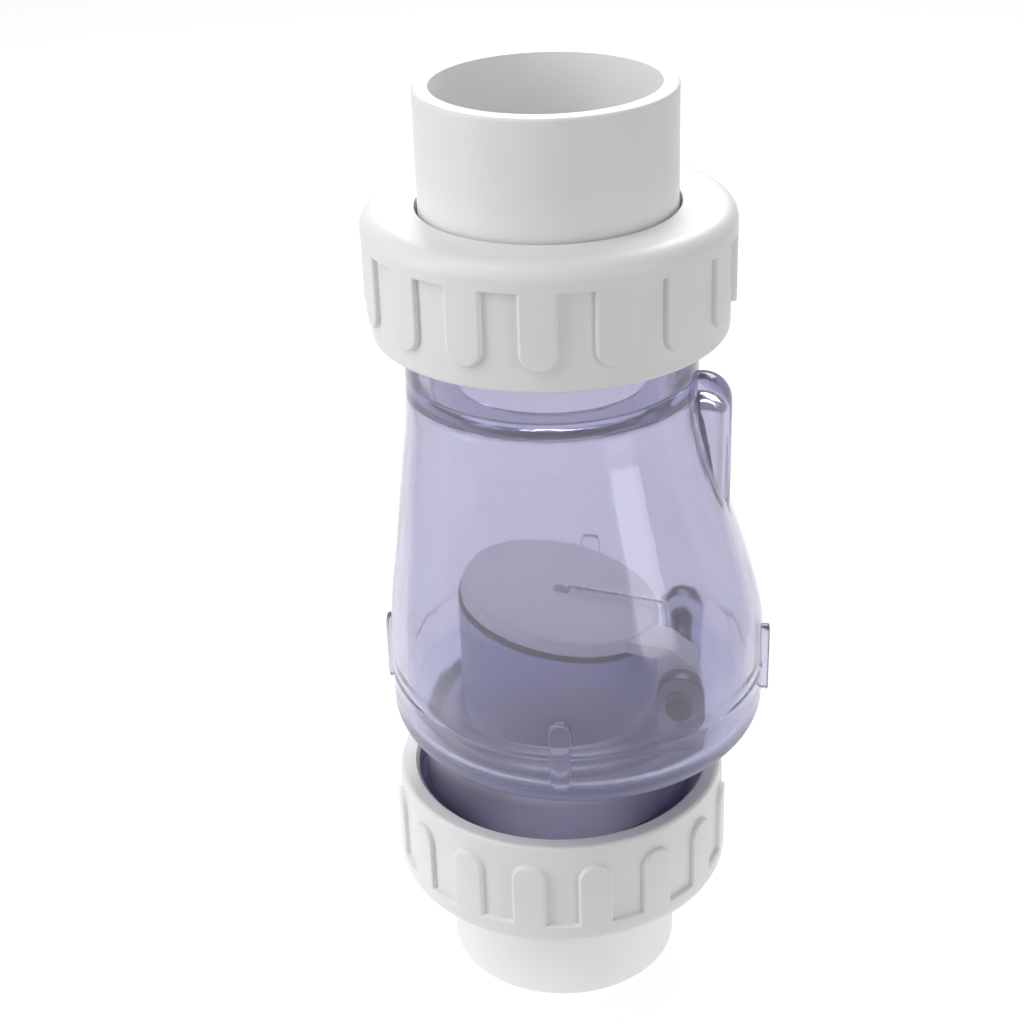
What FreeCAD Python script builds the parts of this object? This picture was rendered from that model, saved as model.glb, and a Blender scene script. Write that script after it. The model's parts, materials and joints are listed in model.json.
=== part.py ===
"""Clear-bodied swing check valve with a union at each end, for 63 mm pipe.

Units are millimetres. The origin is the centre of the inlet socket's mouth, +Z is the direction of flow
and +X is the side of the flap's hinge.
"""

import FreeCAD, Part
import math
import os

from FreeCAD import Placement, Rotation, Vector

os.makedirs("parts", exist_ok=True)

# ---------------------------------------------------------------- driving dimensions
TOTAL_LENGTH = 284.2
MID_Z = TOTAL_LENGTH / 2

# tail pieces, one at each end
SOCKET_R = 31.6
SOCKET_DEPTH = 38.0
TAIL_R = 36.0
FLOW_R = 26.0
MOUTH_ROUND = 1.0
COLLAR_R = 41.9
COLLAR_LENGTH = 6.0
COLLAR_CHAMFER = 0.6

# union nuts
NUT_LENGTH = 36.0
NUT_FACE_Z = MID_Z + 109.3
NUT_WALL = 5.8
NUT_HOLE_R = 37.0
NUT_BORE_R = 45.05
NUT_FLANGE_R = 52.2
NUT_FLANGE_LENGTH = 8.0
NUT_BARREL_R = 50.6
NUT_SHOULDER_ROUND = 5.0
NUT_EDGE_ROUND = 1.2
NUT_MOUTH_CHAMFER = 1.0
NUT_RIBS = 16
NUT_RIB_WIDTH = 10.2
NUT_RIB_LENGTH = 29.5
NUT_RIB_ROUND = 0.8
NUT_RIB_TURN = {"outlet": 2.1, "inlet": 5.8}
FACE_GAP = 0.05

# body: threaded necks, round chamber set towards the hinge, bell, two moulded halves
NECK_R = 42.1
NECK_BORE_R = 37.0
NECK_END_Z = NUT_FACE_Z - NUT_WALL - FACE_GAP - COLLAR_LENGTH
THREAD_R = 44.7
THREAD_PITCH = 6.0
THREAD_LENGTH = 21.0
THREAD_LEAD_IN = 1.0
THREAD_HALF_ROOT = 0.36 * THREAD_PITCH
THREAD_HALF_CREST = 0.14 * THREAD_PITCH
THREAD_SUNK = 0.4
THREAD_CREST_CLEARANCE = 0.35
SEAM_Z = 106.5
WALL = 4.3
CHAMBER_R = 56.8
CHAMBER_X = 5.8
BELL = (
    (SEAM_Z, CHAMBER_R, CHAMBER_X),
    (114.0, CHAMBER_R, CHAMBER_X),
    (122.0, 56.4, 5.7),
    (132.0, 54.9, 5.1),
    (145.0, 52.1, 4.0),
    (160.0, 48.8, 2.5),
    (175.0, 45.5, 1.1),
    (188.0, 43.1, 0.3),
    (200.6, NECK_R, 0.0),
)
SHELF_Z = 196.6
SHELF_TOP_Z = 200.6
PORT_R = 27.7
PORT_ROUND = 1.4
FLOOR_Z = 85.5
FLOOR_TOP_Z = 91.0
WEB_DROP = 0.5
BASE_CORNER = 11.0
TONGUE_HEIGHT = 2.5
TONGUE_WIDTH = 1.4
TONGUE_CLEARANCE = 0.05
POCKET_X = 43.2
POCKET_R = 8.5
POCKET_BORE_R = 5.0
POCKET_TOP_Z = 192.2
POCKET_LOW_Z = 116.5
POCKET_BORE_DROP = 3.5
BAR_WIDTH = 6.2
BAR_Z = (95.5, 118.1)
BAR_PROUD = 2.0
BAR_ROUND = 0.8

# seat, tilted down towards the hinge
SEAT_R = 30.3
SEAT_Z = 122.5
SEAT_TILT = 12.0

# hinge
PIN_X = 37.6
PIN_Z = 105.3
PIN_R = 2.0
PLUG_R = 3.6
PIN_CLEARANCE = 0.08
PIN_SEAT = 3.3
PIN_CHAMFER = 0.4
EAR_INNER_Y = 22.0
EAR_OUTER_Y = 28.3
EAR_R = 6.7
EAR_X = PIN_X + 0.4
EAR_TOP_Z = 115.7
KNUCKLE_R = 6.5
KNUCKLE_Y = (-21.5, -8.8)
SLEEVE_Y = (2.3, 21.5)

# flap
FLAP_R = 30.6
FLAP_THICK = 4.2
FLAP_EDGE_ROUND = 1.6
ARM_START_X = 14.0
ARM_SUNK = 1.0
ARM_SHOULDER_X = PIN_X - 3.0
ARM_HEEL_X = PIN_X + KNUCKLE_R - 1.2
ARM_HEEL_Z = PIN_Z + 9.0
ARM_ROUND = 3.0
ARM_RISER_GAP = 0.9
GASKET_THICK = 2.2
GASKET_R = FLAP_R + 0.3
GASKET_ROUND = 0.5
RETAINER_R = 21.0
RETAINER_THICK = 2.0
RETAINER_CHAMFER = 0.5
SCREW_R = 1.5
SCREW_HEAD_R = 4.0
SCREW_HEAD_HEIGHT = 2.2
SCREW_HEAD_ROUND = 1.0
SCREW_SLOT = 1.0
SCREW_TIP_GAP = 0.2
SCREW_WEB = 0.4
RECESS_R = 2.6
RECESS_DEPTH = 2.4

# spring
WIRE_R = 0.55
COIL_R = 3.05
COIL_Y = 1.4
COIL_TURNS = 7
COIL_PITCH = 1.2
LEG_LEAN = 5.0
WIRE_BEND = 1.2
WIRE_RISE = 1.9
HOOK_X = 1.7
HOOK_DEPTH = 3.6
REST_GAP = 0.1

# O-rings in the neck faces
RING_R = 39.9
RING_WIDTH = 3.0
RING_HEIGHT = 2.4
RING_ROUND = 1.0

Z_AXIS = Vector(0, 0, 1)
Y_AXIS = Vector(0, 1, 0)

# how far pieces that are to be fused or cut run into one another
OVERLAP = 1.0


# ---------------------------------------------------------------- helpers
def disc(radius, z_low, z_high, x=0.0):
    return Part.makeCylinder(radius, z_high - z_low, Vector(x, 0, z_low))


def tube(radius, bore, z_low, z_high, x=0.0):
    return disc(radius, z_low, z_high, x).cut(disc(bore, z_low - OVERLAP, z_high + OVERLAP, x))


def rod_y(radius, y_low, y_high, x=PIN_X, z=PIN_Z):
    """A cylinder along Y."""
    return Part.makeCylinder(radius, y_high - y_low, Vector(x, y_low, z), Y_AXIS)


def circle_edges(shape, radius, z):
    """The circular edges of this radius that lie at this height, on a shape made of cylinders."""
    near = 0.05
    circles = [edge for edge in shape.Edges if isinstance(edge.Curve, Part.Circle)]
    level = [edge for edge in circles if abs(edge.Curve.Center.z - z) < near]
    return [edge for edge in level if abs(edge.Curve.Radius - radius) < near]


def flared_hole(radius, rounding, z_low, z_high):
    """A cutter for a hole whose upper edge, at z_high, is rounded off."""
    lean = rounding * math.sqrt(0.5)
    edge = Vector(radius, 0, z_high - rounding)
    middle = Vector(radius + rounding - lean, 0, z_high - rounding + lean)
    brim = Vector(radius + rounding, 0, z_high)
    above = z_high + OVERLAP
    line = [brim, Vector(radius + rounding, 0, above), Vector(0, 0, above)]
    line += [Vector(0, 0, z_low), Vector(radius, 0, z_low), edge]
    outline = Part.Wire([Part.makePolygon(line), Part.Arc(edge, middle, brim).toShape()])
    return Part.Face(outline).revolve(Vector(0, 0, 0), Z_AXIS, 360)


def at_inlet(shape):
    """The outlet end's shape turned end for end, which keeps a thread's hand."""
    turned = shape.copy()
    turned.rotate(Vector(0, 0, MID_Z), Vector(1, 0, 0), 180)
    return turned


def save(shape, node):
    solids = shape.Solids
    whole = solids[0] if len(solids) == 1 else Part.makeCompound(solids)
    if not whole.isValid():
        print("not valid:", node)
    whole.exportStep("parts/" + node + ".step")
    print(f"{node:20s} {len(solids)} solid(s) {whole.Volume:10.1f} mm3")


def stadium(width, z_low, z_high):
    """A flat stadium face in the XZ plane with its long side along Z."""
    half = width / 2
    low = Vector(half, 0, z_low + half)
    high = Vector(half, 0, z_high - half)
    edges = [
        Part.LineSegment(low, high).toShape(),
        Part.Arc(high, Vector(0, 0, z_high), Vector(-half, 0, z_high - half)).toShape(),
        Part.LineSegment(Vector(-half, 0, z_high - half), Vector(-half, 0, z_low + half)).toShape(),
        Part.Arc(Vector(-half, 0, z_low + half), Vector(0, 0, z_low), low).toShape(),
    ]
    return Part.Face(Part.Wire(edges))


def raised_bar(width, z_low, z_high, inner, outer, rounding, x=0.0):
    """A stadium-shaped bar standing on a cylinder about (x, 0), on its -Y side, with a rounded face."""
    prism = stadium(width, z_low, z_high).extrude(Vector(0, -2 * outer, 0))
    bar = prism.common(tube(outer, inner, z_low - OVERLAP, z_high + OVERLAP))
    face = max(bar.Faces, key=lambda f: -f.CenterOfMass.y)
    bar = bar.makeFillet(rounding, face.Edges)
    bar.translate(Vector(x, 0, 0))
    return bar


def turned_about(shape, degrees, x=0.0):
    turned = shape.copy()
    turned.rotate(Vector(x, 0, 0), Z_AXIS, degrees)
    return turned


def seat_plane(shape):
    """Moves a shape from the flat XY plane to the tilted seat plane."""
    placed = shape.copy()
    placed.Placement = Placement(Vector(0, 0, SEAT_Z), Rotation(Y_AXIS, SEAT_TILT)).multiply(placed.Placement)
    return placed


def thread(crest, root, z_low, length, outside):
    """A helical ridge of trapezoid section, on the outside of a root cylinder or inside a bore."""
    sunk = root - THREAD_SUNK if outside else root + THREAD_SUNK
    start = z_low + THREAD_HALF_ROOT
    path = Part.makeHelix(THREAD_PITCH, length - 2 * THREAD_HALF_ROOT, root)
    path.translate(Vector(0, 0, start))
    half = [(sunk, THREAD_HALF_ROOT), (root, THREAD_HALF_ROOT), (crest, THREAD_HALF_CREST)]
    corners = [(r, -dz) for r, dz in half] + half[::-1]
    points = [Vector(r, 0, start + dz) for r, dz in corners]
    section = Part.makePolygon(points + [points[0]])
    return Part.Wire(path.Edges).makePipeShell([section], True, True)


# ---------------------------------------------------------------- tail pieces
def tail_piece():
    socket_floor = TOTAL_LENGTH - SOCKET_DEPTH
    barrel = disc(TAIL_R, NECK_END_Z, TOTAL_LENGTH)
    barrel = barrel.makeFillet(MOUTH_ROUND, circle_edges(barrel, TAIL_R, TOTAL_LENGTH))
    collar = disc(COLLAR_R, NECK_END_Z, NECK_END_Z + COLLAR_LENGTH)
    collar = collar.makeChamfer(COLLAR_CHAMFER, circle_edges(collar, COLLAR_R, NECK_END_Z + COLLAR_LENGTH))
    bore = disc(FLOW_R, NECK_END_Z - OVERLAP, TOTAL_LENGTH)
    socket = disc(SOCKET_R, socket_floor, TOTAL_LENGTH + OVERLAP)
    return barrel.fuse(collar).cut(bore).cut(socket).removeSplitter()


# ---------------------------------------------------------------- union nuts
def union_nut(end):
    low = NUT_FACE_Z - NUT_LENGTH
    flange_low = NUT_FACE_Z - NUT_FLANGE_LENGTH
    flange = disc(NUT_FLANGE_R, flange_low, NUT_FACE_Z)
    flange = flange.makeFillet(NUT_SHOULDER_ROUND, circle_edges(flange, NUT_FLANGE_R, NUT_FACE_Z))
    flange = flange.makeFillet(NUT_EDGE_ROUND / 2, circle_edges(flange, NUT_FLANGE_R, flange_low))
    barrel = disc(NUT_BARREL_R, low, NUT_FACE_Z - NUT_SHOULDER_ROUND)
    barrel = barrel.makeFillet(NUT_EDGE_ROUND, circle_edges(barrel, NUT_BARREL_R, low))
    mouth = Part.makeCone(NUT_BORE_R + NUT_MOUTH_CHAMFER, NUT_BORE_R, NUT_MOUTH_CHAMFER, Vector(0, 0, low))
    blank = barrel.fuse(flange).removeSplitter()
    blank = blank.cut(disc(NUT_HOLE_R, low, NUT_FACE_Z + OVERLAP))
    blank = blank.cut(disc(NUT_BORE_R, low - OVERLAP, NUT_FACE_Z - NUT_WALL)).cut(mouth)
    step = 360 / NUT_RIBS
    blank = turned_about(blank, NUT_RIB_TURN[end] + step / 2)
    rib_high = flange_low + NUT_RIB_WIDTH / 2
    rib_low = NUT_FACE_Z - NUT_RIB_LENGTH
    rib = raised_bar(NUT_RIB_WIDTH, rib_low, rib_high, NUT_BARREL_R - OVERLAP, NUT_FLANGE_R, NUT_RIB_ROUND)
    for i in range(NUT_RIBS):
        blank = blank.fuse(turned_about(rib, NUT_RIB_TURN[end] + i * step))
    ridge_low = NECK_END_Z - THREAD_LEAD_IN - THREAD_LENGTH + THREAD_PITCH / 2
    ridge = thread(NECK_R + THREAD_CREST_CLEARANCE, NUT_BORE_R, ridge_low, THREAD_LENGTH, False)
    return blank.fuse(ridge)


# ---------------------------------------------------------------- body
def bell_solid(inset, top_z):
    """The bell's oblique cone, inset from its outer face, from the seam up to top_z."""
    rings = []
    for z, radius, x in BELL[:-1]:
        rings.append(Part.Wire(Part.makeCircle(radius - inset, Vector(x, 0, z))))
    rings.append(Part.Wire(Part.makeCircle(BELL[-1][1] - inset, Vector(BELL[-1][2], 0, top_z))))
    return Part.makeLoft(rings, True, False)


def pocket_solid(radius, top_z):
    """The upright bulge on the bell's hinge side, or its hollow, domed over a centre at top_z."""
    column = disc(radius, POCKET_LOW_Z, top_z, POCKET_X)
    return column.fuse(Part.makeSphere(radius, Vector(POCKET_X, 0, top_z)))


def body_bars(z_low, z_high):
    bar = raised_bar(BAR_WIDTH, *BAR_Z, CHAMBER_R - OVERLAP, CHAMBER_R + BAR_PROUD, BAR_ROUND, CHAMBER_X)
    half = bar.common(disc(2 * CHAMBER_R, z_low, z_high))
    return [turned_about(half, 90 * i, CHAMBER_X) for i in range(4)]


def neck_solid(low):
    """The outlet neck's outside, with its thread, from the chamber end at low."""
    neck = disc(NECK_R, low, NECK_END_Z)
    ridge_low = NECK_END_Z - THREAD_LEAD_IN - THREAD_LENGTH
    return neck.fuse(thread(THREAD_R, NECK_R, ridge_low, THREAD_LENGTH, True))


def ring_groove():
    half = RING_WIDTH / 2
    return tube(RING_R + half, RING_R - half, NECK_END_Z - RING_HEIGHT, NECK_END_Z + OVERLAP)


def tongue(extra):
    """The ridge that locates the two halves of the body on each other."""
    middle = CHAMBER_R - WALL / 2
    half = TONGUE_WIDTH / 2 + extra
    return tube(middle + half, middle - half, SEAM_Z - OVERLAP, SEAM_Z + TONGUE_HEIGHT + extra, CHAMBER_X)


def body_shell():
    shell = bell_solid(0, BELL[-1][0]).fuse(neck_solid(BELL[-1][0]))
    shell = shell.fuse(pocket_solid(POCKET_R, POCKET_TOP_Z))
    for bar in body_bars(SEAM_Z, BAR_Z[1] + OVERLAP):
        shell = shell.fuse(bar)
    shell = shell.cut(bell_solid(WALL, SHELF_Z))
    shell = shell.cut(pocket_solid(POCKET_BORE_R, POCKET_TOP_Z - POCKET_BORE_DROP))
    shell = shell.cut(flared_hole(PORT_R, PORT_ROUND, SHELF_Z - OVERLAP, SHELF_TOP_Z))
    shell = shell.cut(disc(NECK_BORE_R, SHELF_TOP_Z, NECK_END_Z + OVERLAP))
    return shell.cut(ring_groove()).cut(tongue(TONGUE_CLEARANCE))


def bowl():
    """The round lower half of the chamber, closed by the floor."""
    outer = disc(CHAMBER_R, FLOOR_Z, SEAM_Z, CHAMBER_X)
    outer = outer.makeFillet(BASE_CORNER, circle_edges(outer, CHAMBER_R, FLOOR_Z))
    inner = disc(CHAMBER_R - WALL, FLOOR_TOP_Z, SEAM_Z + OVERLAP, CHAMBER_X)
    inner = inner.makeFillet(BASE_CORNER - WALL, circle_edges(inner, CHAMBER_R - WALL, FLOOR_TOP_Z))
    return outer, inner


def ear(y_low, y_high):
    """One lug for the hinge pin, standing on the bowl's floor, round on top."""
    foot_z = FLOOR_TOP_Z - OVERLAP
    crown_z = EAR_TOP_Z - EAR_R
    column = Part.makeBox(2 * EAR_R, y_high - y_low, crown_z - foot_z, Vector(EAR_X - EAR_R, y_low, foot_z))
    crown = rod_y(EAR_R, y_low, y_high, EAR_X, crown_z)
    return column.fuse(crown).cut(rod_y(PLUG_R, y_low - OVERLAP, y_high + OVERLAP))


def seat_riser():
    """The upright tube that the flap closes, cut off along the tilted seat plane."""
    riser = tube(SEAT_R, FLOW_R, FLOOR_TOP_Z - OVERLAP, SEAT_Z + SEAT_R)
    return riser.cut(seat_plane(disc(2 * SEAT_R, 0, 2 * SEAT_R)))


def body_base():
    outer, inner = bowl()
    base = outer.cut(inner)
    base = base.fuse(at_inlet(neck_solid(TOTAL_LENGTH - FLOOR_Z - 2 * OVERLAP)))
    base = base.fuse(seat_riser())
    base = base.fuse(ear(-EAR_OUTER_Y, -EAR_INNER_Y)).fuse(ear(EAR_INNER_Y, EAR_OUTER_Y))
    for bar in body_bars(BAR_Z[0] - OVERLAP, SEAM_Z):
        base = base.fuse(bar)
    base = base.fuse(tongue(0))
    base = base.cut(disc(FLOW_R, 0, FLOOR_TOP_Z + OVERLAP))
    base = base.cut(disc(NECK_BORE_R, 0, FLOOR_Z - WEB_DROP))
    return base.cut(at_inlet(ring_groove()))


# ---------------------------------------------------------------- flap, its seal and its hinge
def top_of_flap(x):
    """Height of the flap's upper face at x."""
    slope = math.tan(math.radians(SEAT_TILT))
    rise = (GASKET_THICK + FLAP_THICK) / math.cos(math.radians(SEAT_TILT))
    return SEAT_Z + rise - x * slope


def flap_arm():
    """The arm that carries the flap from the knuckle beside the riser up over the seat."""
    depth = FLAP_THICK / math.cos(math.radians(SEAT_TILT))
    clear_x = SEAT_R + ARM_RISER_GAP
    outline = [
        Vector(ARM_START_X, 0, top_of_flap(ARM_START_X) - ARM_SUNK),
        Vector(ARM_SHOULDER_X, 0, top_of_flap(ARM_SHOULDER_X)),
        Vector(ARM_HEEL_X, 0, ARM_HEEL_Z),
        Vector(PIN_X + KNUCKLE_R, 0, PIN_Z),
        Vector(PIN_X - KNUCKLE_R, 0, PIN_Z),
        Vector(clear_x, 0, top_of_flap(clear_x) - depth),
        Vector(ARM_START_X, 0, top_of_flap(ARM_START_X) - depth),
    ]
    face = Part.Face(Part.makePolygon(outline + [outline[0]]))
    face.translate(Vector(0, KNUCKLE_Y[0], 0))
    arm = face.extrude(Vector(0, KNUCKLE_Y[1] - KNUCKLE_Y[0], 0))
    near = 0.1
    across = [e for e in arm.Edges if abs(e.Length - (KNUCKLE_Y[1] - KNUCKLE_Y[0])) < near]
    corners = [e for e in across if abs(e.CenterOfMass.x - ARM_SHOULDER_X) < near]
    corners += [e for e in across if abs(e.CenterOfMass.z - ARM_HEEL_Z) < near]
    return arm.makeFillet(ARM_ROUND, corners)


def flap():
    top = GASKET_THICK + FLAP_THICK
    recess_floor = top - RECESS_DEPTH
    screw_end = recess_floor - SCREW_WEB
    plate = disc(FLAP_R, GASKET_THICK, top)
    plate = plate.makeFillet(FLAP_EDGE_ROUND, circle_edges(plate, FLAP_R, top))
    plate = plate.cut(disc(RECESS_R, recess_floor, top + OVERLAP)).cut(disc(SCREW_R, 0, screw_end))
    whole = seat_plane(plate).fuse(flap_arm()).fuse(rod_y(KNUCKLE_R, *KNUCKLE_Y))
    pin_hole = rod_y(PIN_R + PIN_CLEARANCE, KNUCKLE_Y[0] - OVERLAP, KNUCKLE_Y[1] + OVERLAP)
    return whole.cut(pin_hole)


def gasket():
    """The flat rubber seal that closes on the seat's rim."""
    ring = tube(GASKET_R, SCREW_R, 0, GASKET_THICK)
    ring = ring.makeFillet(GASKET_ROUND, circle_edges(ring, GASKET_R, 0))
    return seat_plane(ring)


def retainer():
    """The washer that clamps the seal's middle to the flap, inside the seat's bore."""
    washer = tube(RETAINER_R, SCREW_R, -RETAINER_THICK, 0)
    washer = washer.makeChamfer(RETAINER_CHAMFER, circle_edges(washer, RETAINER_R, -RETAINER_THICK))
    return seat_plane(washer)


def retainer_screw():
    """The pan-head screw through washer and seal, threaded into the flap from below."""
    low = -RETAINER_THICK - SCREW_HEAD_HEIGHT
    head = disc(SCREW_HEAD_R, low, -RETAINER_THICK)
    head = head.makeFillet(SCREW_HEAD_ROUND, circle_edges(head, SCREW_HEAD_R, low))
    tip = GASKET_THICK + FLAP_THICK - RECESS_DEPTH - SCREW_WEB - SCREW_TIP_GAP
    shank = disc(SCREW_R, -RETAINER_THICK, tip)
    corner = Vector(-2 * SCREW_HEAD_R, -SCREW_SLOT / 2, low - OVERLAP)
    slot = Part.makeBox(4 * SCREW_HEAD_R, SCREW_SLOT, SCREW_SLOT + OVERLAP, corner)
    return seat_plane(head.fuse(shank).cut(slot))


def round_wire(points, bend):
    """A round wire along straight runs joined by arcs of this radius at every inner point."""
    edges = []
    start = points[0]
    for before, corner, after in zip(points, points[1:], points[2:]):
        back = (before - corner).normalize()
        ahead = (after - corner).normalize()
        half_turn = (math.pi - back.getAngle(ahead)) / 2
        reach = bend * math.tan(half_turn)
        inwards = (back + ahead).normalize()
        middle = corner + inwards * (bend / math.cos(half_turn) - bend)
        edges.append(Part.LineSegment(start, corner + back * reach).toShape())
        edges.append(Part.Arc(corner + back * reach, middle, corner + ahead * reach).toShape())
        start = corner + ahead * reach
    edges.append(Part.LineSegment(start, points[-1]).toShape())
    section = Part.Wire(Part.makeCircle(WIRE_R, points[0], points[1] - points[0]))
    return Part.Wire(edges).makePipeShell([section], True, True)


def spring():
    """The closing spring: a close coil round the pin. One leg reaches over the flap and hooks into the
    recess at its middle, the other stands on the floor of the bowl."""
    path = Part.makeHelix(COIL_PITCH, COIL_TURNS * COIL_PITCH, COIL_R)
    path.rotate(Vector(0, 0, 0), Vector(1, 0, 0), 90)
    path.rotate(Vector(0, 0, 0), Y_AXIS, 180 - LEG_LEAN)
    path.translate(Vector(PIN_X, COIL_Y, PIN_Z))
    helix = path.Edges[0]
    first, last = helix.valueAt(helix.FirstParameter), helix.valueAt(helix.LastParameter)
    rising, falling = helix.tangentAt(helix.FirstParameter) * -1, helix.tangentAt(helix.LastParameter)
    section = Part.Wire(Part.makeCircle(WIRE_R, first, rising))
    coil = Part.Wire(path.Edges).makePipeShell([section], True, True)
    over = GASKET_THICK + FLAP_THICK + WIRE_RISE
    slope = math.tan(math.radians(SEAT_TILT))
    hook = seat_point(HOOK_X, over)
    climb = (hook.z - (first.x - hook.x) * slope - first.z) / (rising.z + rising.x * slope)
    corners = [first, first + rising * climb, hook, seat_point(HOOK_X, over - HOOK_DEPTH)]
    flap_leg = round_wire(corners, WIRE_BEND)
    drop = (last.z - FLOOR_TOP_Z - REST_GAP) / -falling.z
    rest_leg = Part.makeCylinder(WIRE_R, drop, last, falling)
    return coil.fuse(flap_leg).fuse(rest_leg)


def seat_point(x, height):
    """A point this far above the seat plane, over x along the plane."""
    return Placement(Vector(0, 0, SEAT_Z), Rotation(Y_AXIS, SEAT_TILT)).multVec(Vector(x, 0, height))


def hinge_pin():
    reach = EAR_INNER_Y + PIN_SEAT
    pin = rod_y(PIN_R, -reach, reach)
    ends = [edge for edge in pin.Edges if isinstance(edge.Curve, Part.Circle)]
    return pin.makeChamfer(PIN_CHAMFER, ends)


def pin_plug(side):
    """The plug that closes an ear's hole and holds the pin's end; side is -1 at the front, 1 at the rear."""
    plug = rod_y(PLUG_R, EAR_INNER_Y, EAR_OUTER_Y)
    plug = plug.cut(rod_y(PIN_R, EAR_INNER_Y - OVERLAP, EAR_INNER_Y + PIN_SEAT))
    if side < 0:
        plug.rotate(Vector(PIN_X, 0, PIN_Z), Z_AXIS, 180)
    return plug


def pin_sleeve():
    bore = rod_y(PIN_R + PIN_CLEARANCE, SLEEVE_Y[0] - OVERLAP, SLEEVE_Y[1] + OVERLAP)
    return rod_y(PLUG_R, *SLEEVE_Y).cut(bore)


def o_ring():
    """The ring squeezed into the neck's groove, flush with the neck's face."""
    inner = RING_R - RING_WIDTH / 2
    ring = tube(RING_R + RING_WIDTH / 2, inner, NECK_END_Z - RING_HEIGHT, NECK_END_Z)
    edges = [edge for edge in ring.Edges if isinstance(edge.Curve, Part.Circle)]
    return ring.makeFillet(RING_ROUND, edges)


if __name__ == "__main__":
    save(tail_piece(), "tail_outlet")
    save(at_inlet(tail_piece()), "tail_inlet")
    save(union_nut("outlet"), "union_nut_outlet")
    save(at_inlet(union_nut("inlet")), "union_nut_inlet")
    save(o_ring(), "o_ring_outlet")
    save(at_inlet(o_ring()), "o_ring_inlet")
    save(body_shell(), "body_shell")
    save(body_base(), "body_base")
    save(flap(), "flap")
    save(gasket(), "flap_gasket")
    save(retainer(), "gasket_retainer")
    save(retainer_screw(), "retainer_screw")
    save(hinge_pin(), "hinge_pin")
    save(pin_plug(-1), "pin_plug_front")
    save(pin_plug(1), "pin_plug_rear")
    save(pin_sleeve(), "pin_sleeve")
    save(spring(), "closing_spring")
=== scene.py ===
"""Looks of the clear-bodied check valve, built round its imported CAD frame. Lengths here are in millimetres
until mesh_piece() turns them into metres."""
import json
import math

import bmesh
import bpy
from mathutils import Matrix, Vector


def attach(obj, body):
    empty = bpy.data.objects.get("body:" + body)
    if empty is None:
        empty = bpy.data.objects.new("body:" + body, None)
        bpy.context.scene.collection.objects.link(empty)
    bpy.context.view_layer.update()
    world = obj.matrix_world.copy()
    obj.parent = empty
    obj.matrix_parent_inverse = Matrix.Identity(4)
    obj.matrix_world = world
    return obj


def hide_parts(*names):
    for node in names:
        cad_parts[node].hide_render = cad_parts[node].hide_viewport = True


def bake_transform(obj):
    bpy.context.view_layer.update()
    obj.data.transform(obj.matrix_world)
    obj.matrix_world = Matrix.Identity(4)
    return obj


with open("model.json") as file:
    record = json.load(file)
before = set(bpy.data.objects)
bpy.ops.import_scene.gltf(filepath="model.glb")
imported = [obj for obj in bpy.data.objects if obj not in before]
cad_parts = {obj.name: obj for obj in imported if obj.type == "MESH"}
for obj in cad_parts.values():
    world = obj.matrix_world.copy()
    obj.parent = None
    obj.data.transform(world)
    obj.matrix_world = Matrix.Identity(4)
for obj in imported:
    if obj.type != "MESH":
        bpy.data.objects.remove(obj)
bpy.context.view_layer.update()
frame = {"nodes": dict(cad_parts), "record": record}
nodes = frame["nodes"]
MM = 0.001

# ---------------------------------------------------------------- sizes of the valve, as in its CAD source
TOTAL_LENGTH = 284.2
MID_Z = TOTAL_LENGTH / 2
SEAM_Z = 106.5
WALL = 4.3
CHAMBER_R, CHAMBER_X = 56.8, 5.8
BELL = (
    (114.0, CHAMBER_R, CHAMBER_X),
    (122.0, 56.4, 5.7),
    (132.0, 54.9, 5.1),
    (145.0, 52.1, 4.0),
    (160.0, 48.8, 2.5),
    (175.0, 45.5, 1.1),
    (188.0, 43.1, 0.3),
    (200.6, 42.1, 0.0),
)
NECK_R, NECK_BORE_R, NECK_END_Z = 42.1, 37.0, 239.55
THREAD_R, THREAD_PITCH, THREAD_LENGTH, THREAD_LEAD_IN = 44.7, 6.0, 21.0, 1.0
SHELF_Z, SHELF_TOP_Z, PORT_R, PORT_ROUND = 196.6, 200.6, 27.7, 1.4
RING_R, RING_WIDTH, RING_HEIGHT = 39.9, 3.0, 2.4
FLOOR_Z, FLOOR_TOP_Z, BASE_CORNER = 85.5, 91.0, 11.0
FLOW_R = 26.0
SEAT_R, SEAT_Z, SEAT_TILT = 30.3, 122.5, math.radians(12.0)
POCKET_X, POCKET_R, POCKET_BORE_R, POCKET_TOP_Z, POCKET_BORE_DROP = 43.2, 8.5, 5.0, 192.2, 3.5
BAR_WIDTH, BAR_LOW, BAR_HIGH, BAR_PROUD, BAR_SUNK, BAR_EDGE = 6.2, 95.5, 118.1, 2.0, 1.2, 0.7
PIN_X, PIN_Z = 37.6, 105.3
EAR_R, EAR_TOP_Z, EAR_INNER_Y, EAR_OUTER_Y = 6.7, 115.7, 22.0, 28.3
EAR_SHIFT, EAR_HOLE_R, EAR_EDGE = 0.4, 3.5, 0.6
FLAP_TOP = 6.4
WIRE_R, COIL_R, COIL_Y, COIL_TURNS, COIL_PITCH = 0.55, 3.05, 1.4, 7, 1.2
LEG_LEAN, WIRE_BEND, WIRE_RISE, HOOK_X, HOOK_DEPTH, REST_GAP = math.radians(5), 1.2, 1.9, 1.7, 3.6, 0.1
LEG_START, REST_START = 0.3, 0.4
SEAM_PROUD, SEAM_CREST, SEAM_FOOT = 0.14, 0.15, 0.45
NECK_EDGE = 0.4
RIM_EDGE = 0.5
FLOW_EDGE = 0.3
CEILING_ROUND = 2.5
NECK_BORE_ROUND = 2.0
SHELF_BORE_ROUND = 1.5
RISER_FILLET = 1.2
RISER_STEP, RISER_STEPS = 4.5, 5
POCKET_LOW_Z = SEAM_Z + 20
OVERLAP = 1.0
ROUND = 192
BELL_STEPS = 34
COIL_STEPS = 48


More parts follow.
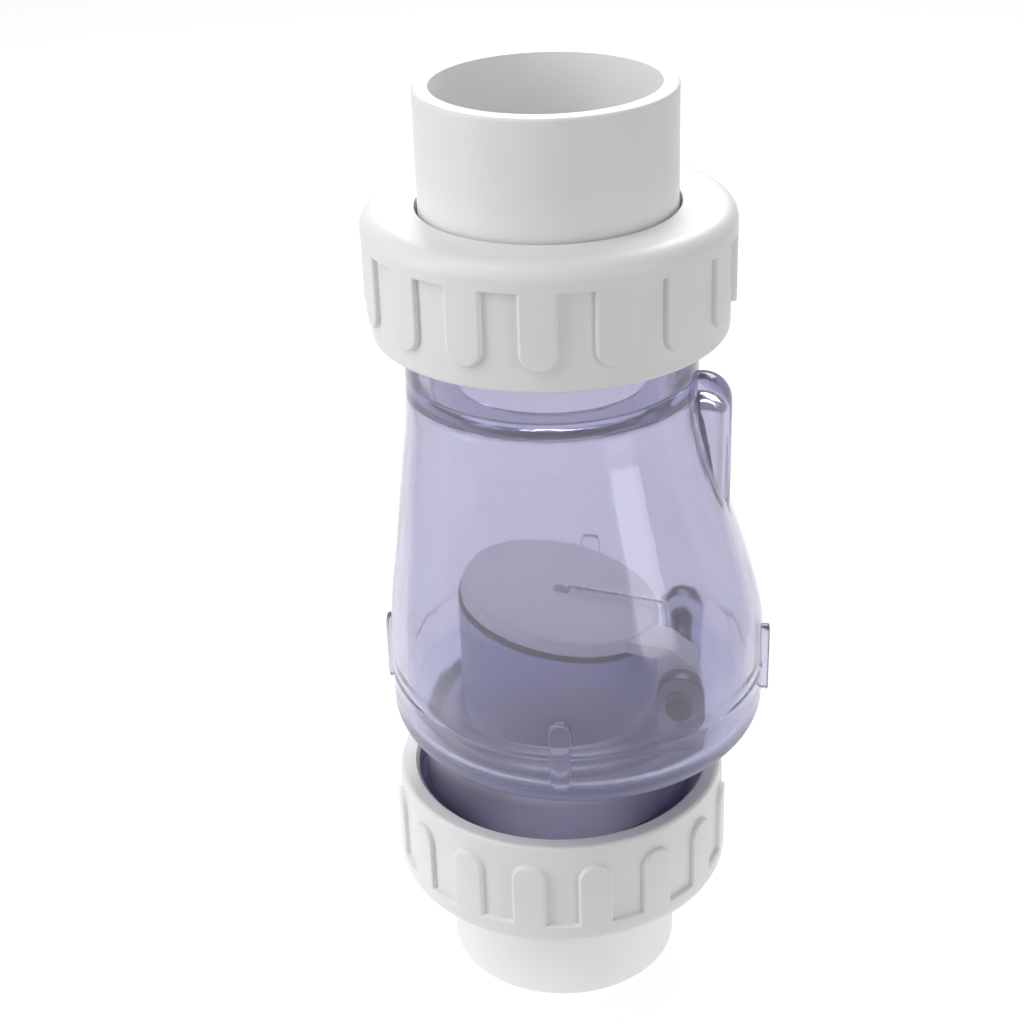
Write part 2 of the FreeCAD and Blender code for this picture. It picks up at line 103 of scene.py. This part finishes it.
# ---------------------------------------------------------------- mesh helpers
def mesh_piece(name, points, faces):
    """A mesh object from points in millimetres."""
    mesh = bpy.data.meshes.new(name)
    mesh.from_pydata([Vector(p) * MM for p in points], [], faces)
    mesh.validate()
    piece = bpy.data.objects.new(name, mesh)
    bpy.context.scene.collection.objects.link(piece)
    work = bmesh.new()
    work.from_mesh(mesh)
    bmesh.ops.recalc_face_normals(work, faces=work.faces)
    work.to_mesh(mesh)
    work.free()
    return piece


def smooth(piece, degrees=32.0):
    """Smooth shading that keeps the edges sharper than this angle."""
    mesh = piece.data
    mesh.polygons.foreach_set("use_smooth", [True] * len(mesh.polygons))
    mesh.set_sharp_from_angle(angle=math.radians(degrees))


def apply_boolean(piece, other, operation):
    """Joins the other mesh to the piece, or cuts it away, and removes it."""
    modifier = piece.modifiers.new("boolean", "BOOLEAN")
    modifier.operation = operation
    modifier.solver = "EXACT"
    modifier.object = other
    graph = bpy.context.evaluated_depsgraph_get()
    made = bpy.data.meshes.new_from_object(piece.evaluated_get(graph))
    piece.modifiers.clear()
    piece.data = made
    bpy.data.objects.remove(other)


def arc(centre, radius, start, stop, steps):
    """Points of an arc in a plane, by angle in degrees, both ends included."""
    for i in range(steps + 1):
        angle = math.radians(start + (stop - start) * i / steps)
        yield centre[0] + radius * math.cos(angle), centre[1] + radius * math.sin(angle)


def outline_prism(name, outline, low, high, lift):
    """A prism from a closed outline of (a, b) points. lift(a, b, c) places each for c = low and c = high."""
    count = len(outline)
    points = [lift(a, b, c) for c in (low, high) for a, b in outline]
    faces = [tuple(range(count)), tuple(range(2 * count - 1, count - 1, -1))]
    faces += [(i, (i + 1) % count, (i + 1) % count + count, i + count) for i in range(count)]
    return mesh_piece(name, points, faces)


def bevel(piece, width, degrees=40.0, segments=3):
    """Rounds the edges sharper than this angle."""
    modifier = piece.modifiers.new("bevel", "BEVEL")
    modifier.width = width * MM
    modifier.segments = segments
    modifier.limit_method = "ANGLE"
    modifier.angle_limit = math.radians(degrees)
    graph = bpy.context.evaluated_depsgraph_get()
    made = bpy.data.meshes.new_from_object(piece.evaluated_get(graph))
    piece.modifiers.clear()
    piece.data = made
    return piece


# ---------------------------------------------------------------- the clear body
def bell_at(z):
    """The bell's outer radius and centre at a height, smooth between the rings of BELL."""
    table = ((SEAM_Z, CHAMBER_R, CHAMBER_X),) + BELL
    if z <= BELL[0][0]:
        return CHAMBER_R, CHAMBER_X
    slopes = []
    for i, row in enumerate(table):
        before, after = table[max(i - 1, 0)], table[min(i + 1, len(table) - 1)]
        slopes.append([(after[k] - before[k]) / (after[0] - before[0]) for k in (1, 2)])
    index = max(i for i, row in enumerate(table[:-1]) if row[0] <= z)
    low, high = table[index], table[index + 1]
    span = high[0] - low[0]
    t = (z - low[0]) / span
    found = []
    for k in (0, 1):
        start, stop = low[k + 1], high[k + 1]
        value = (2 * t**3 - 3 * t**2 + 1) * start + (3 * t**2 - 2 * t**3) * stop
        value += span * ((t**3 - 2 * t**2 + t) * slopes[index][k] + (t**3 - t**2) * slopes[index + 1][k])
        found.append(value)
    return found[0], found[1]


def body_rings():
    """Rings (z, radius, centre x, tilt) once round the wall: up the outside and down the inside."""
    end = TOTAL_LENGTH - NECK_END_Z
    groove_in, groove_out = RING_R - RING_WIDTH / 2, RING_R + RING_WIDTH / 2
    rings = [(end, NECK_BORE_R, 0, 0), (end, groove_in, 0, 0), (end + RING_HEIGHT, groove_in, 0, 0)]
    rings += [(end + RING_HEIGHT, groove_out, 0, 0), (end, groove_out, 0, 0), (end, NECK_R - NECK_EDGE, 0, 0)]
    neck_low, neck_high = end + NECK_EDGE, FLOOR_Z - 0.8
    rings += [(neck_low, NECK_R, 0, 0)]
    rings += [(neck_low + (neck_high - neck_low) * i / 6, NECK_R, 0, 0) for i in range(1, 7)]
    rings.append((FLOOR_Z + 0.1, NECK_R + 0.7, 0, 0))
    corner = (CHAMBER_R - BASE_CORNER, FLOOR_Z + BASE_CORNER)
    rings += [(z, r, CHAMBER_X, 0) for r, z in arc(corner, BASE_CORNER, -72, 0, 14)]
    rings += [(SEAM_Z - 4, CHAMBER_R, CHAMBER_X, 0), (SEAM_Z - SEAM_FOOT, CHAMBER_R, CHAMBER_X, 0)]
    rings += [(SEAM_Z + side * SEAM_CREST, CHAMBER_R + SEAM_PROUD, CHAMBER_X, 0) for side in (-1, 1)]
    rings += [(SEAM_Z + SEAM_FOOT, CHAMBER_R, CHAMBER_X, 0)]
    rise = [SEAM_Z + 3 + (SHELF_TOP_Z - SEAM_Z - 3) * i / BELL_STEPS for i in range(BELL_STEPS + 1)]
    rings += [(z, *bell_at(z), 0) for z in rise]
    neck_rise = NECK_END_Z - NECK_EDGE - SHELF_TOP_Z
    rings += [(SHELF_TOP_Z + neck_rise * i / 5, NECK_R, 0, 0) for i in range(1, 6)]
    rings += [(NECK_END_Z, NECK_R - NECK_EDGE, 0, 0), (NECK_END_Z, groove_out, 0, 0)]
    rings += [(NECK_END_Z - RING_HEIGHT, groove_out, 0, 0), (NECK_END_Z - RING_HEIGHT, groove_in, 0, 0)]
    rings += [(NECK_END_Z, groove_in, 0, 0), (NECK_END_Z, NECK_BORE_R, 0, 0)]
    corner = (NECK_BORE_R - SHELF_BORE_ROUND, SHELF_TOP_Z + SHELF_BORE_ROUND)
    rings += [(z, r, 0, 0) for r, z in arc(corner, SHELF_BORE_ROUND, 0, -90, 5)]
    corner = (PORT_R + PORT_ROUND, SHELF_TOP_Z - PORT_ROUND)
    rings += [(z, r, 0, 0) for r, z in arc(corner, PORT_ROUND, 90, 180, 6)]
    rings += [(SHELF_Z + RIM_EDGE, PORT_R, 0, 0), (SHELF_Z, PORT_R + RIM_EDGE, 0, 0)]
    inner_top, inner_x = bell_at(SHELF_Z)
    wall_top = SHELF_Z - CEILING_ROUND
    corner = (inner_top - WALL - CEILING_ROUND, wall_top)
    rings += [(z, r, inner_x, 0) for r, z in arc(corner, CEILING_ROUND, 90, 0, 6)]
    fall = [wall_top - (wall_top - SEAM_Z) * i / BELL_STEPS for i in range(1, BELL_STEPS + 1)]
    rings += [(z, bell_at(z)[0] - WALL, bell_at(z)[1], 0) for z in fall]
    corner = (CHAMBER_R - BASE_CORNER, FLOOR_TOP_Z + BASE_CORNER - WALL)
    rings += [(z, r, CHAMBER_X, 0) for r, z in arc(corner, BASE_CORNER - WALL, 0, -90, 9)]
    foot = FLOOR_TOP_Z + RISER_FILLET
    risers = [(foot + RISER_STEP * i, SEAT_TILT * i / RISER_STEPS) for i in range(1, RISER_STEPS + 1)]
    rings += [(FLOOR_TOP_Z, SEAT_R + RISER_FILLET, 0, 0), (foot, SEAT_R, 0, 0)]
    rings += [(z, SEAT_R, 0, tilt) for z, tilt in risers]
    rings += [(SEAT_Z - RIM_EDGE, SEAT_R, 0, SEAT_TILT), (SEAT_Z, SEAT_R - RIM_EDGE, 0, SEAT_TILT)]
    rings += [(SEAT_Z, FLOW_R + FLOW_EDGE, 0, SEAT_TILT), (SEAT_Z - FLOW_EDGE, FLOW_R, 0, SEAT_TILT)]
    rings += [(z, FLOW_R, 0, tilt) for z, tilt in risers[::-1]]
    web = FLOOR_Z - RIM_EDGE
    rings += [(web + RIM_EDGE, FLOW_R, 0, 0), (web, FLOW_R + RIM_EDGE, 0, 0)]
    bore_top = web - NECK_BORE_ROUND
    corner = (NECK_BORE_R - NECK_BORE_ROUND, bore_top)
    rings += [(z, r, 0, 0) for r, z in arc(corner, NECK_BORE_ROUND, 90, 0, 6)]
    rings += [(end + (bore_top - end) * i / 4, NECK_BORE_R, 0, 0) for i in (3, 2, 1)]
    return rings


def lathe(name, rings, capped=False):
    """A closed skin through rings (z, radius, centre x, tilt). The last joins the first, or both ends are
    capped."""
    points = []
    for z, radius, x, tilt in rings:
        for i in range(ROUND):
            turn = math.tau * i / ROUND
            reach = radius * math.cos(turn)
            points.append((x + reach, radius * math.sin(turn), z - math.tan(tilt) * reach))
    count = len(rings)
    faces = []
    for j in range(count - 1 if capped else count):
        here, there = j * ROUND, (j + 1) % count * ROUND
        for i in range(ROUND):
            k = (i + 1) % ROUND
            faces.append((here + i, here + k, there + k, there + i))
    if capped:
        faces += [tuple(range(ROUND)), tuple(range(len(points) - 1, len(points) - 1 - ROUND, -1))]
    return mesh_piece(name, points, faces)


def capsule_column(name, radius, low, high, x):
    """An upright rod at (x, 0) with a domed top."""
    around, up = 48, 12
    profile = [(radius, low), (radius, (low + high) / 2)]
    profile += list(arc((0, high), radius, 0, 90, up))[:-1]
    turns = [math.tau * i / around for i in range(around)]
    points = [(x + r * math.cos(turn), r * math.sin(turn), z) for r, z in profile for turn in turns]
    points.append((x, 0, high + radius))
    faces = [tuple(range(around))]
    for j in range(len(profile) - 1):
        for i in range(around):
            k = (i + 1) % around
            faces.append((j * around + i, j * around + k, (j + 1) * around + k, (j + 1) * around + i))
    last = (len(profile) - 1) * around
    faces += [(last + i, last + (i + 1) % around, len(points) - 1) for i in range(around)]
    return mesh_piece(name, points, faces)


def stadium_bar(turn):
    """One raised bar across the seam, at this angle round the chamber."""
    half = BAR_WIDTH / 2
    outline = [*arc((0, BAR_HIGH - half), half, 0, 180, 12), *arc((0, BAR_LOW + half), half, 180, 360, 12)]

    def lift(a, b, c):
        return CHAMBER_X + c * math.cos(turn) - a * math.sin(turn), c * math.sin(turn) + a * math.cos(turn), b

    bar = outline_prism("bar", outline, CHAMBER_R - BAR_SUNK, CHAMBER_R + BAR_PROUD, lift)
    return bevel(bar, BAR_EDGE)


def ear(side):
    """One hinge ear beside the riser, with its hole for the pin's plug."""

    def lift(a, b, c):
        return a, side * c, b

    x = PIN_X + EAR_SHIFT
    outline = list(arc((x, EAR_TOP_Z - EAR_R), EAR_R, 0, 180, 24))
    outline += [(x - EAR_R, FLOOR_TOP_Z - OVERLAP), (x + EAR_R, FLOOR_TOP_Z - OVERLAP)]
    piece = outline_prism("ear", outline, EAR_INNER_Y, EAR_OUTER_Y, lift)
    bevel(piece, EAR_EDGE, segments=2)
    rim = list(arc((PIN_X, PIN_Z), EAR_HOLE_R, 0, 352.5, 47))
    hole = outline_prism("hole", rim, EAR_INNER_Y - 2 * OVERLAP, EAR_OUTER_Y + 2 * OVERLAP, lift)
    apply_boolean(piece, hole, "DIFFERENCE")
    return piece


def thread_ridge(at_inlet):
    """The helical ridge on a neck. The inlet's is the outlet's turned end for end."""
    half_root, half_crest, sunk = 0.36 * THREAD_PITCH, 0.14 * THREAD_PITCH, 0.4
    start = NECK_END_Z - THREAD_LEAD_IN - THREAD_LENGTH + half_root
    turns = (THREAD_LENGTH - 2 * half_root) / THREAD_PITCH
    steps = int(turns * 96)
    section = [(NECK_R - sunk, -half_root), (NECK_R, -half_root), (THREAD_R, -half_crest)]
    section += [(THREAD_R, half_crest), (NECK_R, half_root), (NECK_R - sunk, half_root)]
    points, faces = [], []
    for j in range(steps + 1):
        angle = math.tau * turns * j / steps
        for r, dz in section:
            point = (r * math.cos(angle), r * math.sin(angle), start + turns * THREAD_PITCH * j / steps + dz)
            points.append((point[0], -point[1], TOTAL_LENGTH - point[2]) if at_inlet else point)
    sides = len(section)
    for j in range(steps):
        for i in range(sides):
            k = (i + 1) % sides
            faces.append((j * sides + i, j * sides + k, (j + 1) * sides + k, (j + 1) * sides + i))
    faces += [tuple(range(sides)), tuple(range(len(points) - 1, len(points) - 1 - sides, -1))]
    return mesh_piece("thread", points, faces)


def joined(pieces):
    """One mesh object from several that do not touch."""
    work = bmesh.new()
    for piece in pieces:
        work.from_mesh(piece.data)
    work.to_mesh(pieces[0].data)
    work.free()
    for piece in pieces[1:]:
        bpy.data.objects.remove(piece)
    return pieces[0]


def clear_body():
    """Both halves of the body as the one clear piece that solvent welding makes of them."""
    body = lathe("clear_body", body_rings())
    heights = range(int(SEAM_Z), int(SHELF_Z), 3)
    chamber = [(z, bell_at(z)[0] - WALL + OVERLAP / 2, bell_at(z)[1], 0) for z in heights]
    pocket = capsule_column("pocket", POCKET_R, POCKET_LOW_Z, POCKET_TOP_Z, POCKET_X)
    apply_boolean(pocket, lathe("chamber", chamber, capped=True), "DIFFERENCE")
    bars = [stadium_bar(math.tau * i / 4) for i in range(4)]
    extras = bars + [ear(-1), ear(1), thread_ridge(False), thread_ridge(True)]
    apply_boolean(body, joined([pocket] + extras), "UNION")
    hollow_top = POCKET_TOP_Z - POCKET_BORE_DROP
    hollow = capsule_column("hollow", POCKET_BORE_R, POCKET_LOW_Z, hollow_top, POCKET_X)
    apply_boolean(body, hollow, "DIFFERENCE")
    smooth(body, 30)
    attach(body, "body")
    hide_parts("body_shell", "body_base")
    return body


# ---------------------------------------------------------------- the closing spring
def seat_point(x, height):
    """A point this far above the tilted seat plane, over x along the plane."""
    along, over = math.cos(SEAT_TILT), math.sin(SEAT_TILT)
    return Vector((x * along + height * over, 0, SEAT_Z - x * over + height * along))


def rounded_path(corners, bend, steps=8):
    """Points along straight runs joined by arcs of this radius."""
    path = [corners[0]]
    for before, corner, after in zip(corners, corners[1:], corners[2:]):
        back, ahead = (before - corner).normalized(), (after - corner).normalized()
        half_turn = (math.pi - back.angle(ahead)) / 2
        reach = bend * math.tan(half_turn)
        centre = corner + (back + ahead).normalized() * (bend / math.cos(half_turn))
        start, stop = corner + back * reach - centre, corner + ahead * reach - centre
        path += [centre + start.slerp(stop, i / steps) for i in range(steps + 1)]
    return path + [corners[-1]]


def swept_wire(name, path, radius, sides=16):
    """A round wire with closed ends along a path."""
    points, faces = [], []
    ahead = (path[1] - path[0]).normalized()
    across = ahead.orthogonal().normalized()
    for i, place in enumerate(path):
        before, after = path[max(i - 1, 0)], path[min(i + 1, len(path) - 1)]
        ahead = (after - before).normalized()
        across = (across - ahead * across.dot(ahead)).normalized()
        up = ahead.cross(across)
        for j in range(sides):
            turn = math.tau * j / sides
            points.append(place + (across * math.cos(turn) + up * math.sin(turn)) * radius)
    for i in range(len(path) - 1):
        for j in range(sides):
            k = (j + 1) % sides
            faces.append((i * sides + j, i * sides + k, (i + 1) * sides + k, (i + 1) * sides + j))
    faces += [tuple(range(sides)), tuple(range(len(points) - 1, len(points) - 1 - sides, -1))]
    return mesh_piece(name, points, faces)


def spring():
    """The close coil round the pin. One leg hooks into the flap's recess, the other stands on the floor of
    the bowl."""
    def coil(i):
        turn = LEG_LEAN + math.tau * i / COIL_STEPS
        y = COIL_Y - COIL_PITCH * i / COIL_STEPS
        return Vector((PIN_X - COIL_R * math.cos(turn), y, PIN_Z - COIL_R * math.sin(turn)))

    turns = [coil(i) for i in range(COIL_STEPS * COIL_TURNS + 1)]
    along = COIL_PITCH / math.tau
    rising = Vector((-COIL_R * math.sin(LEG_LEAN), along, COIL_R * math.cos(LEG_LEAN))).normalized()
    slope = math.tan(SEAT_TILT)
    hook = seat_point(HOOK_X, FLAP_TOP + WIRE_RISE)
    climb = (hook.z - (turns[0].x - hook.x) * slope - turns[0].z) / (rising.z + rising.x * slope)
    tip = seat_point(HOOK_X, FLAP_TOP + WIRE_RISE - HOOK_DEPTH)
    leg = rounded_path([turns[0] + rising * LEG_START, turns[0] + rising * climb, hook, tip], WIRE_BEND)
    foot = turns[-1] - rising * ((turns[-1].z - FLOOR_TOP_Z - REST_GAP) / rising.z)
    rest = [turns[-1] - rising * REST_START, foot]
    wire = swept_wire("spring_wire", leg[::-1] + turns + rest, WIRE_R)
    smooth(wire, 50)
    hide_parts("closing_spring")
    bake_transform(wire)
    return wire


# ---------------------------------------------------------------- materials
PVC_IOR = 1.5
CLARITY = 0.86
TINT, TINT_DENSITY = (0.56, 0.55, 0.78), 54.0
# The neck's haze colour is darkened as painted shade, for the inlet neck where it sits inside its nut.
NECK_HAZE_AND_SHADE, BODY_HAZE, CORE_HAZE = (0.50, 0.47, 0.66), (0.90, 0.89, 0.985), (0.80, 0.80, 1.0)
# Where each zone of the clear body begins and is full, in metres.
RISER_REACH, RISER_TOP, BOWL_TOP = (0.0325, 0.0300), (0.1260, 0.1215), (0.0985, 0.0935)
CORE_HAZE_LEVEL, NECK_SHADE_LEVEL = (0.0840, 0.0870), (0.0770, 0.0800)
CORE_DULLNESS = 0.30


def new_material(name):
    material = bpy.data.materials.new(name)
    material.use_nodes = True
    tree = material.node_tree
    return material, tree, tree.nodes["Principled BSDF"]


def object_place(tree):
    """X, Y and Z of the shaded point in object space, in metres."""
    place = tree.nodes.new("ShaderNodeTexCoord")
    parts = tree.nodes.new("ShaderNodeSeparateXYZ")
    tree.links.new(place.outputs["Object"], parts.inputs[0])
    return parts.outputs


def math_node(tree, operation, *values):
    """One step of arithmetic on sockets or plain numbers."""
    node = tree.nodes.new("ShaderNodeMath")
    node.operation = operation
    for socket, value in zip(node.inputs, values):
        if isinstance(value, (int, float)):
            socket.default_value = value
        else:
            tree.links.new(value, socket)
    return node.outputs[0]


def scaled(tree, value, from_low, from_high, to_low=0.0, to_high=1.0):
    """A value moved from one range to another, and kept inside it."""
    node = tree.nodes.new("ShaderNodeMapRange")
    tree.links.new(value, node.inputs["Value"])
    ends = {"From Min": from_low, "From Max": from_high, "To Min": to_low, "To Max": to_high}
    for name, number in ends.items():
        node.inputs[name].default_value = number
    return node.outputs["Result"]


def noise(tree, scale, detail=3.0, stretch=(1, 1, 1)):
    """Solid noise in object space, scaled in metres."""
    place = tree.nodes.new("ShaderNodeTexCoord")
    mapping = tree.nodes.new("ShaderNodeMapping")
    mapping.inputs["Scale"].default_value = stretch
    texture = tree.nodes.new("ShaderNodeTexNoise")
    texture.inputs["Scale"].default_value = scale
    texture.inputs["Detail"].default_value = detail
    tree.links.new(place.outputs["Object"], mapping.inputs["Vector"])
    tree.links.new(mapping.outputs["Vector"], texture.inputs["Vector"])
    return texture.outputs["Fac"]


def ramp(tree, source, stops):
    """A colour ramp over a value; stops are (position, grey or colour)."""
    node = tree.nodes.new("ShaderNodeValToRGB")
    elements = node.color_ramp.elements
    while len(elements) < len(stops):
        elements.new(0.5)
    for element, (position, colour) in zip(elements, stops):
        element.position = position
        element.color = (*(colour if isinstance(colour, tuple) else (colour,) * 3), 1)
    tree.links.new(source, node.inputs["Fac"])
    return node.outputs["Color"]


def bump(tree, shader, height, strength, distance):
    node = tree.nodes.new("ShaderNodeBump")
    node.inputs["Strength"].default_value = strength
    node.inputs["Distance"].default_value = distance
    tree.links.new(height, node.inputs["Height"])
    tree.links.new(node.outputs["Normal"], shader.inputs["Normal"])


def plastic(name, colour, roughness, mottle=0.03, grain=900.0, relief=0.05, specular=0.5):
    """Moulded plastic: faint mottling of the colour, uneven gloss and a fine skin texture."""
    material, tree, shader = new_material(name)
    dark = tuple(c * (1 - mottle) for c in colour)
    light = tuple(min(c * (1 + mottle), 1) for c in colour)
    tint = ramp(tree, noise(tree, 45, 4), [(0.3, dark), (0.7, light)])
    tree.links.new(tint, shader.inputs["Base Color"])
    gloss = ramp(tree, noise(tree, 120, 3), [(0.3, roughness * 0.85), (0.7, roughness * 1.15)])
    tree.links.new(gloss, shader.inputs["Roughness"])
    shader.inputs["IOR"].default_value = PVC_IOR
    shader.inputs["Specular IOR Level"].default_value = specular
    bump(tree, shader, noise(tree, grain, 2), relief, 0.0004)
    return material


def clear_pvc():
    """Clear rigid PVC with its violet tint and milky haziness. The core's side of the moulding is less
    polished. Low in the inlet neck, inside its nut, the haziness is darker as painted shade.
    """
    material, tree, shader = new_material("clear_pvc_look")
    shader.inputs["Transmission Weight"].default_value = CLARITY
    shader.inputs["IOR"].default_value = PVC_IOR
    x, y, z = object_place(tree)
    squares = [math_node(tree, "MULTIPLY", side, side) for side in (x, y)]
    radius = math_node(tree, "SQRT", math_node(tree, "ADD", *squares))
    riser = math_node(tree, "MULTIPLY", scaled(tree, radius, *RISER_REACH), scaled(tree, z, *RISER_TOP))
    core = math_node(tree, "MAXIMUM", riser, scaled(tree, z, *BOWL_TOP))
    gloss = ramp(tree, noise(tree, 60, 3), [(0.35, 0.03), (0.7, 0.08)])
    tree.links.new(math_node(tree, "MULTIPLY_ADD", core, CORE_DULLNESS, gloss), shader.inputs["Roughness"])
    above = math_node(tree, "MULTIPLY", core, scaled(tree, z, *CORE_HAZE_LEVEL))
    # Below the neck level the haze takes the neck's darker colour: painted shade inside the lower nut.
    zone = math_node(tree, "MULTIPLY_ADD", above, 0.5, scaled(tree, z, *NECK_SHADE_LEVEL, 0.0, 0.5))
    haze_and_neck_shade = ramp(tree, zone, [(0.0, NECK_HAZE_AND_SHADE), (0.5, BODY_HAZE), (1.0, CORE_HAZE)])
    tree.links.new(haze_and_neck_shade, shader.inputs["Base Color"])
    bump(tree, shader, noise(tree, 70, 3, (1, 1, 0.35)), 0.25, 0.0006)
    absorb = tree.nodes.new("ShaderNodeVolumeAbsorption")
    absorb.inputs["Color"].default_value = (*TINT, 1)
    absorb.inputs["Density"].default_value = TINT_DENSITY
    tree.links.new(absorb.outputs["Volume"], tree.nodes["Material Output"].inputs["Volume"])
    return material


def steel():
    """Drawn stainless wire and rod: fine lines round it."""
    material, tree, shader = new_material("steel_look")
    shader.inputs["Metallic"].default_value = 1.0
    tint = ramp(tree, noise(tree, 150, 3), [(0.3, (0.50, 0.50, 0.53)), (0.7, (0.62, 0.62, 0.65))])
    tree.links.new(tint, shader.inputs["Base Color"])
    gloss = ramp(tree, noise(tree, 400, 2, (1, 0.1, 1)), [(0.3, 0.22), (0.7, 0.36)])
    tree.links.new(gloss, shader.inputs["Roughness"])
    bump(tree, shader, noise(tree, 1500, 2, (1, 0.05, 1)), 0.06, 0.0002)
    return material


def paint(piece, material):
    piece.data.materials.clear()
    piece.data.materials.append(material)


looks = {
    "white_pvc": plastic("white_pvc_look", (0.85, 0.845, 0.84), 0.42, 0.015),
    "clear_pvc": clear_pvc(),
    "flap_plastic": plastic("flap_look", (0.95, 0.95, 0.95), 0.45, 0.015),
    "seal_rubber": plastic("seal_look", (0.05, 0.05, 0.055), 0.62, 0.10, 1400, 0.12, 0.4),
    "plug_rubber": plastic("plug_look", (0.030, 0.034, 0.055), 0.50, 0.08, 1400, 0.10, 0.4),
    "sleeve_plastic": plastic("sleeve_look", (0.055, 0.060, 0.095), 0.42, 0.04),
    "steel": steel(),
}
paint(clear_body(), looks["clear_pvc"])
paint(spring(), looks["steel"])
for entry in frame["record"]["subparts"]:
    node = nodes[entry["node"]]
    if not node.hide_render:
        paint(node, looks[entry["material_slot"]])

# ---------------------------------------------------------------- floor, light and camera
SHEET_SIZE, SHEET_Z, SHEET_GREY = 6000.0, -0.3, 0.15
# The lit part of the sheet: how bright it glows, where the glow ends, in metres, and how its edges run.
GLOW, FRONT_GLOW, SIDE_SHARE = 0.88, 0.42, 0.55
FRONT_EDGE, SIDE_EDGE = (-0.080, -0.062), (0.23, 0.32)
FRONT_SLANT, VIEW_SLANT, VIEW_SPREAD = -0.16, 0.13, -0.29
ROOM_LEFT, ROOM_RIGHT = 0.40, 0.26
# Name, place, width, height and power of each soft box, in millimetres and watts.
LAMPS = (
    ("left_box", (-950, -386, 330), 500, 1000, 4.7),
    ("right_box", (854, -576, 300), 420, 1000, 3.3),
    ("top_box", (-450, -250, 1000), 600, 600, 2.7),
    ("back_box", (100, 900, 950), 900, 600, 12.0),
)
CAMERA_TURN = math.radians(5.9)
CAMERA_DISTANCE, CAMERA_HEIGHT = 505.54, 275.72
CAMERA_ASIDE, CAMERA_PITCH, CAMERA_ROLL = -0.0254, 0.4793, -0.0345
LENS, SENSOR = 67.24, 36.0


def grid_sheet(name, size, cells, z):
    """A flat square sheet of cells at a height."""
    points, faces = [], []
    for j in range(cells + 1):
        for i in range(cells + 1):
            points.append((size * (i / cells - 0.5), size * (j / cells - 0.5), z))
    for j in range(cells):
        for i in range(cells):
            k = j * (cells + 1) + i
            faces.append((k, k + 1, k + cells + 2, k + cells + 1))
    return mesh_piece(name, points, faces)


def floor():
    """A white sheet that glows as painted light, at full glow where the camera sees it and dimmer in front of
    and beside that.
    """
    sheet = grid_sheet("floor", SHEET_SIZE, 8, SHEET_Z)
    material, tree, shader = new_material("floor_look")
    shader.inputs["Base Color"].default_value = (SHEET_GREY, SHEET_GREY, SHEET_GREY, 1)
    shader.inputs["Roughness"].default_value = 0.9
    # The glow is painted light: emission that also lights the valve from below.
    glow = ramp(tree, noise(tree, 3, 2), [(0.3, 0.99), (0.7, 1.0)])
    tree.links.new(glow, shader.inputs["Emission Color"])
    x, y = object_place(tree)[:2]
    ahead = math_node(tree, "MULTIPLY_ADD", x, FRONT_SLANT, y)
    lit = scaled(tree, ahead, *FRONT_EDGE, FRONT_GLOW, GLOW)
    aside = math_node(tree, "ABSOLUTE", math_node(tree, "MULTIPLY_ADD", y, VIEW_SLANT, x))
    beside = math_node(tree, "MULTIPLY_ADD", y, VIEW_SPREAD, aside)
    shade = scaled(tree, beside, *SIDE_EDGE, 1.0, SIDE_SHARE)
    tree.links.new(math_node(tree, "MULTIPLY", lit, shade), shader.inputs["Emission Strength"])
    paint(sheet, material)


def soft_box(name, place, target, width, height, power):
    """A flat soft light aimed at a point, all in millimetres."""
    light = bpy.data.lights.new(name, "AREA")
    light.shape = "RECTANGLE"
    light.size, light.size_y = width * MM, height * MM
    light.energy = power
    lamp = bpy.data.objects.new(name, light)
    bpy.context.scene.collection.objects.link(lamp)
    lamp.location = Vector(place) * MM
    aim = (Vector(target) - Vector(place)).normalized()
    lamp.rotation_euler = aim.to_track_quat("-Z", "Y").to_euler()


def room():
    """A white room, brighter on the left, with a soft box on each side, one overhead and one behind."""
    world = bpy.data.worlds.new("room")
    bpy.context.scene.world = world
    world.use_nodes = True
    tree = world.node_tree
    background = tree.nodes["Background"]
    place = tree.nodes.new("ShaderNodeTexCoord")
    parts = tree.nodes.new("ShaderNodeSeparateXYZ")
    tree.links.new(place.outputs["Generated"], parts.inputs[0])
    background.inputs["Color"].default_value = (0.98, 0.99, 1.0, 1)
    strength = scaled(tree, parts.outputs[0], -0.9, 0.9, ROOM_LEFT, ROOM_RIGHT)
    tree.links.new(strength, background.inputs["Strength"])
    for name, spot, width, height, power in LAMPS:
        soft_box(name, spot, (0, 0, MID_Z), width, height, power)


def camera():
    """The standing place, aim and lens of the reference view."""
    aside, pitch, roll = CAMERA_ASIDE, CAMERA_PITCH, CAMERA_ROLL
    forward = Vector((math.sin(aside) * math.cos(pitch), math.cos(aside) * math.cos(pitch), -math.sin(pitch)))
    right = Vector((math.cos(aside), -math.sin(aside), 0))
    up = right.cross(forward)
    across = right * math.cos(roll) + up * math.sin(roll)
    upright = up * math.cos(roll) - right * math.sin(roll)
    spin = Matrix.Rotation(CAMERA_TURN, 3, "Z")
    axes = Matrix([spin @ across, spin @ upright, spin @ -forward]).transposed()
    data = bpy.data.cameras.new("camera")
    data.lens, data.sensor_width = LENS, SENSOR
    data.clip_start, data.clip_end = 0.01, 20
    shot = bpy.data.objects.new("camera", data)
    bpy.context.scene.collection.objects.link(shot)
    reach = Vector((math.sin(CAMERA_TURN), -math.cos(CAMERA_TURN), 0)) * CAMERA_DISTANCE
    place = (reach + Vector((0, 0, MID_Z + CAMERA_HEIGHT))) * MM
    shot.matrix_world = Matrix.Translation(place) @ axes.to_4x4()
    bpy.context.scene.camera = shot


floor()
room()
camera()
scene = bpy.context.scene
scene.view_settings.view_transform = "Standard"
scene.cycles.max_bounces = 28
scene.cycles.transmission_bounces = 26
scene.cycles.glossy_bounces = 8
